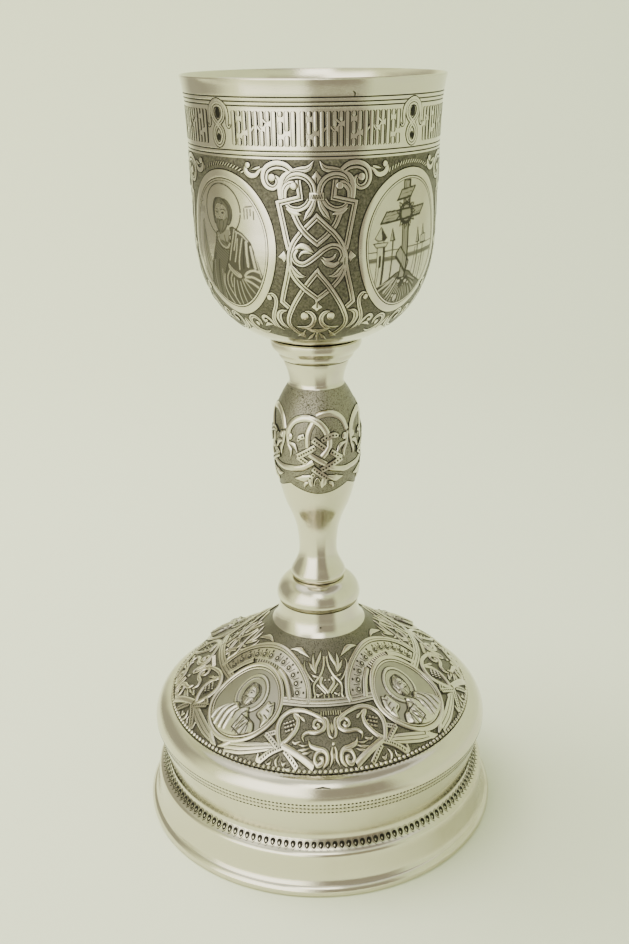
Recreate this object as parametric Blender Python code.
"""A silver altar chalice: a deep bowl on a stepped collar, a hollow baluster stem with a knop, a roll and
a domed foot. Every piece is turned about +Z, and z = 0 is the plane that the foot stands on."""

import math

import bmesh
import bpy

MM = 0.001

# Driving sizes, in millimetres.
HEIGHT = 300.0
MOUTH_RADIUS = 47.3
FOOT_RADIUS = 74.7
WALL = 1.0
GAP = 0.3

# Heights of the joints between the pieces.
BOWL_BASE = 205.0
STEM_TOP = 196.4
ROLL_TOP = 103.0
FOOT_TOP = 92.4

# The bowl: a flared side over a bottom that is a quarter of a superellipse.
SIDE_RADIUS = 44.4
SHOULDER = 250.0
BOTTOM_DEPTH = 46.75
BOTTOM_POWER = 2.4
INSIDE_DEPTH = 43.8

# The cast stem's wall is thicker at the knop.
KNOP_BORE = 14.6

# The foot's chased dome sits inside its plain moulded side, under the row of beads.
DOME_EDGE = (63.5, 49.4)

# The dome's four oval medallions.
MEDALLIONS = 4
MEDALLION_TURN = 50.3
MEDALLION_HALF = (14.6, 13.8)
MEDALLION_RADIUS = 45.4
FRAME_RISE = 0.9
FIELD_RISE = 0.5


def spline(knots, steps):
    """Points of a Catmull-Rom curve through the knots, with so many steps from each knot to the next."""
    ends = [knots[0], *knots, knots[-1]]
    points = []
    for before, start, stop, after in zip(ends, ends[1:], ends[2:], ends[3:]):
        for step in range(steps):
            t = step / steps
            points.append(
                tuple(
                    0.5 * (2 * b + (c - a) * t + (2 * a - 5 * b + 4 * c - d) * t**2
                           + (3 * b - a - 3 * c + d) * t**3)
                    for a, b, c, d in zip(before, start, stop, after)
                )
            )
    return points + [knots[-1]]


def inset(points, depth):
    """The points moved to the right of their path by the depth, seen with the radius to the right and +Z up."""
    moved = []
    for i, (radius, height) in enumerate(points):
        ahead = points[min(i + 1, len(points) - 1)]
        behind = points[max(i - 1, 0)]
        run, rise = ahead[0] - behind[0], ahead[1] - behind[1]
        length = math.hypot(run, rise)
        moved.append((radius + depth * rise / length, height - depth * run / length))
    return moved


def bowl_bottom(radius, depth, steps, floor):
    """The quarter of a superellipse from the shoulder down to the floor's height."""
    last = math.asin(min(1.0, ((SHOULDER - floor) / depth) ** (BOTTOM_POWER / 2)))
    points = []
    for step in range(steps + 1):
        angle = last * step / steps
        points.append(
            (
                radius * math.cos(angle) ** (2 / BOTTOM_POWER),
                SHOULDER - depth * math.sin(angle) ** (2 / BOTTOM_POWER),
            )
        )
    return points


def silver(name, color):
    material = bpy.data.materials.new(name)
    material.use_nodes = True
    shader = material.node_tree.nodes["Principled BSDF"]
    shader.inputs["Base Color"].default_value = (*color, 1.0)
    shader.inputs["Metallic"].default_value = 1.0
    shader.inputs["Roughness"].default_value = 0.22
    return material


def turned(name, outline, segments, color, relief=None):
    """A solid of revolution from a closed outline of (radius, height) in millimetres.

    A point at radius 0 becomes one vertex on the axis. The relief gives each point's rise along +Z.
    """
    mesh = bmesh.new()
    rings = []
    for radius, height in outline:
        if radius == 0:
            rings.append([mesh.verts.new((0, 0, height * MM))])
            continue
        ring = []
        for step in range(segments):
            angle = 2 * math.pi * step / segments
            rise = relief(radius, angle) if relief else 0.0
            ring.append(
                mesh.verts.new(
                    (radius * math.cos(angle) * MM, radius * math.sin(angle) * MM, (height + rise) * MM)
                )
            )
        rings.append(ring)
    for first, second in zip(rings, rings[1:] + rings[:1]):
        if len(first) == 1 and len(second) == 1:
            continue
        for step in range(segments):
            after = (step + 1) % segments
            corners = [
                first[step % len(first)],
                first[after % len(first)],
                second[after % len(second)],
                second[step % len(second)],
            ]
            mesh.faces.new(list(dict.fromkeys(corners)))
    bmesh.ops.recalc_face_normals(mesh, faces=mesh.faces)
    data = bpy.data.meshes.new(name)
    mesh.to_mesh(data)
    mesh.free()
    data.polygons.foreach_set("use_smooth", [True] * len(data.polygons))
    data.set_sharp_from_angle(angle=math.radians(35))
    data.materials.append(silver(name, color))
    piece = bpy.data.objects.new(name, data)
    bpy.context.scene.collection.objects.link(piece)
    return piece


def bowl():
    side = spline([(MOUTH_RADIUS, HEIGHT - 0.6), (45.8, 291.0), (45.2, 277.0), (SIDE_RADIUS, SHOULDER)], 2)
    bottom = bowl_bottom(SIDE_RADIUS, BOTTOM_DEPTH, 7, BOWL_BASE)
    inner_bottom = bowl_bottom(SIDE_RADIUS - WALL, INSIDE_DEPTH, 5, SHOULDER - INSIDE_DEPTH)
    inner_side = [(radius - WALL, height) for radius, height in side[:-1]]
    inner_bottom[-1] = (0, inner_bottom[-1][1])
    outline = side + bottom[1:] + [(0, BOWL_BASE)] + inner_bottom[::-1] + inner_side[::-1]
    lip = [(MOUTH_RADIUS - WALL * 0.75, HEIGHT), (MOUTH_RADIUS - WALL * 0.3, HEIGHT)]
    return turned("bowl", outline + lip, 48, (0.72, 0.70, 0.62))


def bowl_collar():
    top = BOWL_BASE - GAP
    outline = [
        (17.3, top),
        (17.6, top - 1.2),
        (17.3, top - 3.2),
        (15.3, top - 5.2),
        (14.7, top - 5.6),
        (14.4, top - 6.9),
        (13.0, STEM_TOP),
        (8.0, STEM_TOP),
        (8.0, top),
    ]
    return turned("bowl_collar", outline, 32, (0.66, 0.64, 0.57))


def stem():
    top = STEM_TOP - GAP
    bottom = ROLL_TOP + GAP
    outside = [
        (12.9, top), (10.9, 190.0), (10.6, 187.0), (12.4, 184.4), (15.7, 178.9),
        (17.4, 172.5), (18.0, 165.0), (17.5, 155.5), (15.6, 145.5), (12.2, 135.5),
        (9.0, 127.5), (7.8, 117.5), (8.4, 111.8), (10.4, 108.2), (11.2, 105.8), (10.6, bottom),
    ]
    thin = [outside[0], *outside[2:-3:2], outside[-1]]
    bore = [(min(radius, KNOP_BORE), height) for radius, height in inset(thin, WALL)]
    bore[0] = (outside[0][0] - WALL, top)
    bore[-1] = (outside[-1][0] - 1.5 * WALL, bottom)
    return turned("stem", outside + bore[::-1], 32, (0.60, 0.58, 0.52))


def stem_ring():
    bottom = FOOT_TOP + GAP
    outline = [
        (11.2, ROLL_TOP), (14.0, ROLL_TOP - 1.3), (16.1, ROLL_TOP - 3.4), (17.2, ROLL_TOP - 6.2),
        (17.0, bottom + 1.6), (16.2, bottom), (11.5, bottom), (9.0, ROLL_TOP),
    ]
    return turned("stem_ring", outline, 32, (0.66, 0.64, 0.57))


def medallion_relief(radius, angle):
    """The rise of the oval frames and their fields over the dome."""
    pitch = 2 * math.pi / MEDALLIONS
    turn = (angle - math.radians(MEDALLION_TURN - 90) + pitch / 2) % pitch - pitch / 2
    across = radius * math.sin(turn) / MEDALLION_HALF[0]
    along = (radius * math.cos(turn) - MEDALLION_RADIUS) / MEDALLION_HALF[1]
    out = math.hypot(across, along)
    if out > 1.15:
        return 0.0
    return FRAME_RISE if out > 0.85 else FIELD_RISE


def foot_dome():
    dome = spline([(20.2, 82.4), (27.3, 76.9), (38.8, 68.4), (47.2, 62.8), (54.5, 58.5), (59.6, 54.2), DOME_EDGE], 2)
    collar = [(16.2, FOOT_TOP), (16.6, 89.0), (17.6, 85.8)]
    hem = [(DOME_EDGE[0] - 1.3 * WALL, DOME_EDGE[1])]
    inner_dome = [(radius, height - 1.4 * WALL) for radius, height in dome[-3::-2]]
    neck = [(14.6, 88.0), (11.5, FOOT_TOP - 1.5), (11.5, FOOT_TOP)]
    outline = collar + dome + hem + inner_dome + neck
    return turned("foot_dome", outline, 48, (0.62, 0.60, 0.53), medallion_relief)


def foot_side():
    hem = [(DOME_EDGE[0] + GAP, 48.3), (DOME_EDGE[0] + GAP, 49.3)]
    side = [
        (66.4, 48.5), (69.3, 45.6), (70.6, 41.2), (69.0, 35.9), (68.4, 29.5), (69.1, 24.8),
        (69.6, 19.4), (70.5, 16.8), (70.9, 11.5), (71.7, 6.4), (72.9, 4.1),
    ]
    edge = [(73.9, 3.3), (FOOT_RADIUS, 1.7), (FOOT_RADIUS - 0.5, 0)]
    inside = [(71.8, 0), (70.5, 6.4), (69.4, 16.8), (67.3, 28.0), (67.8, 36.0), (69.2, 41.2), (66.4, 46.8)]
    return turned("foot_side", hem + side + edge + inside, 48, (0.66, 0.64, 0.57))


def main():
    for existing in list(bpy.data.objects):
        bpy.data.objects.remove(existing, do_unlink=True)
    bowl()
    bowl_collar()
    stem()
    stem_ring()
    foot_dome()
    foot_side()


main()
